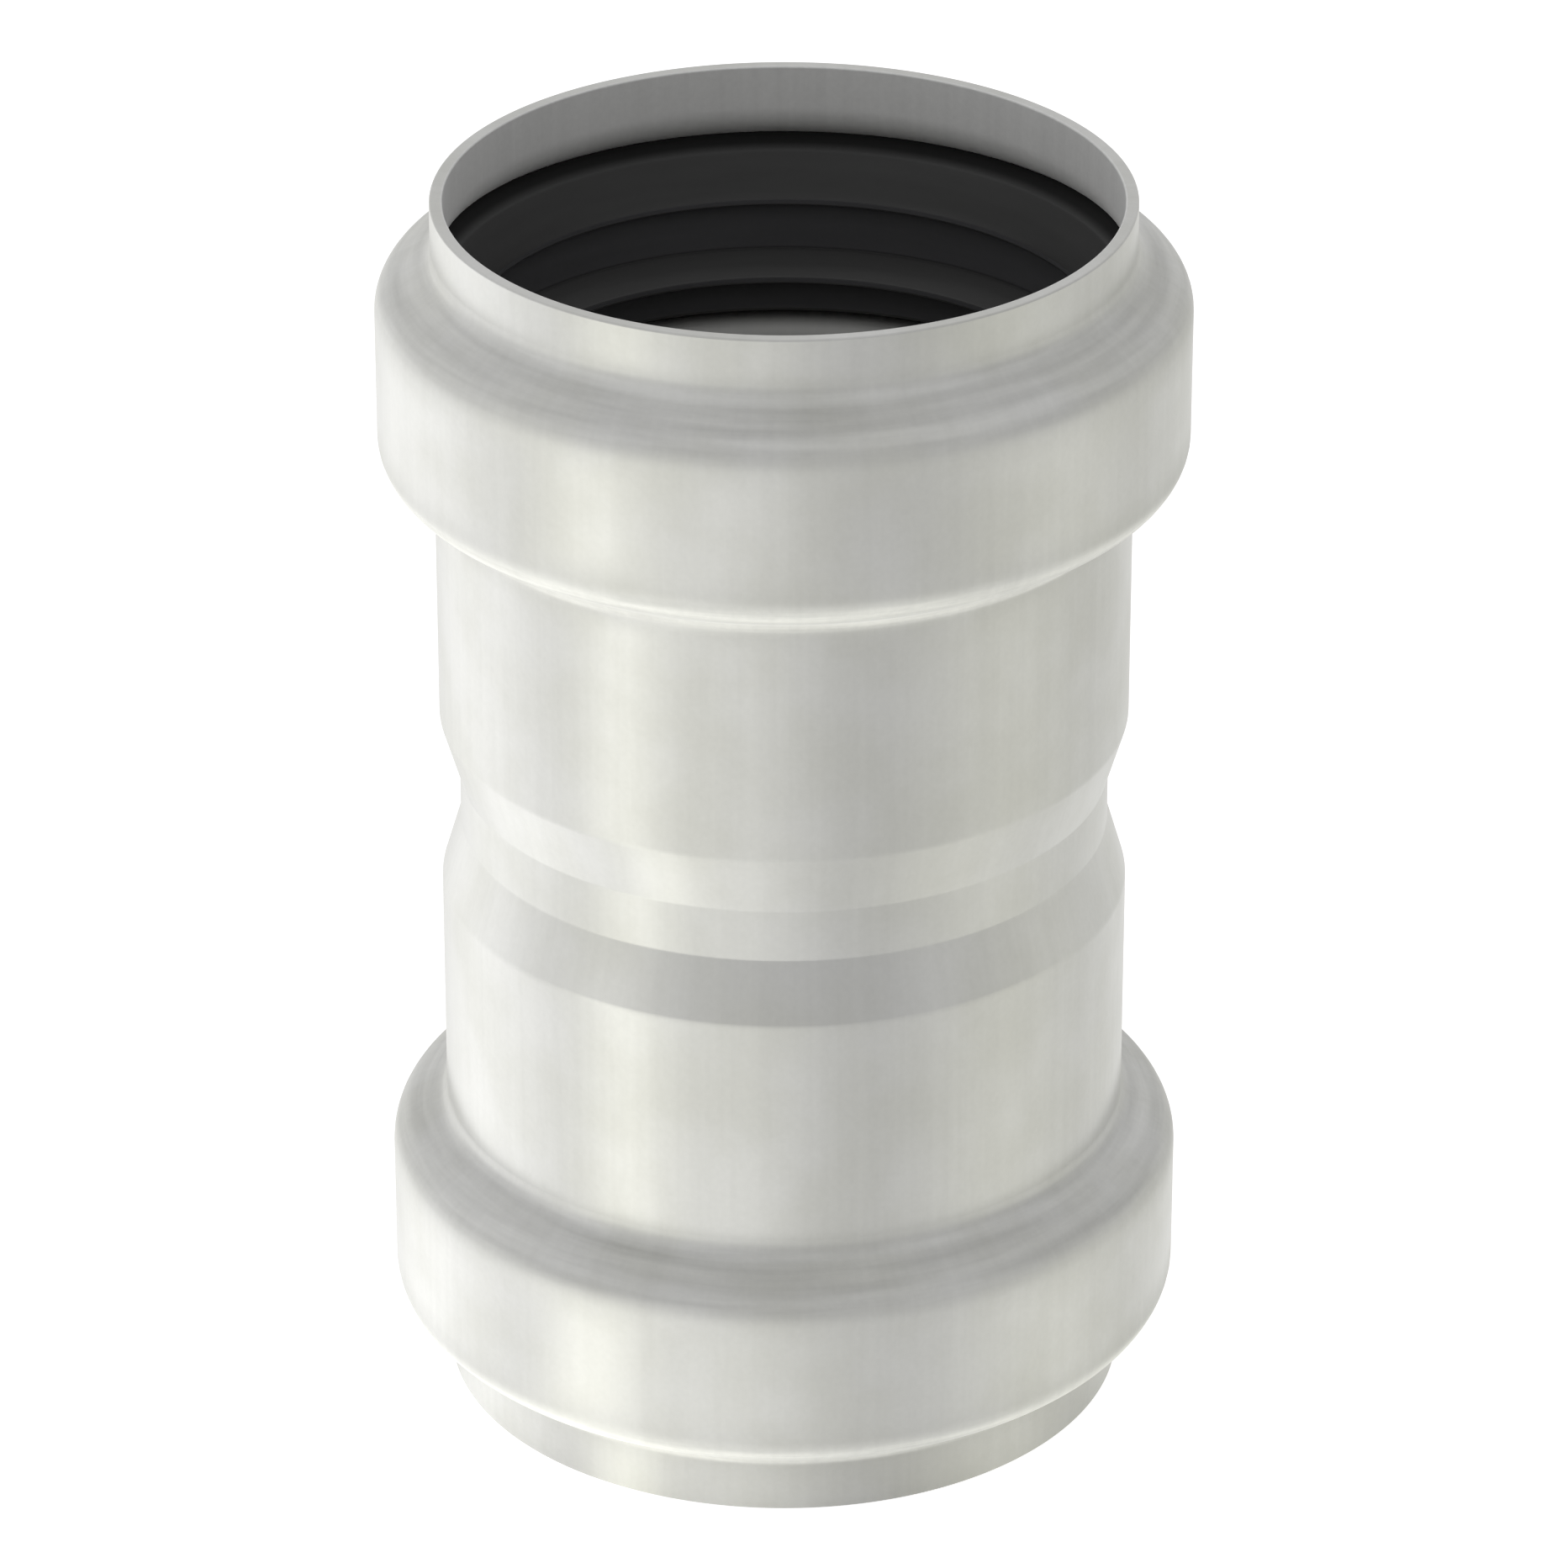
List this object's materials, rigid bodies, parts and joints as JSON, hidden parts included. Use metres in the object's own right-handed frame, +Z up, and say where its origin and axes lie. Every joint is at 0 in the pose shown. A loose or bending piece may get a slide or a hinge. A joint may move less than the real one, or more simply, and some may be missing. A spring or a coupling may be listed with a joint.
{
  "type": "double socket pipe coupling",
  "caption": "Straight steel push-fit pipe coupling: a socket at each end with a rounded seal bead and a black lip seal, and a narrow waist between them that stops the pipes.",
  "frame": {"origin": "centre of the lower mouth, on the plane of the lower rim that it stands on", "axes": "+Z up along the tube's axis, from the lower mouth to the upper mouth; it is round about that axis, so X and Y are free"},
  "size_m": [0.0616, 0.0616, 0.0986],
  "materials": {
    "stainless_steel": "pickled satin",
    "seal_rubber": "moulded matt"
  },
  "bodies": {
    "root": {"coupling_shell": "stainless_steel", "upper_seal": "seal_rubber", "lower_seal": "seal_rubber"}
  },
  "joints": []
}
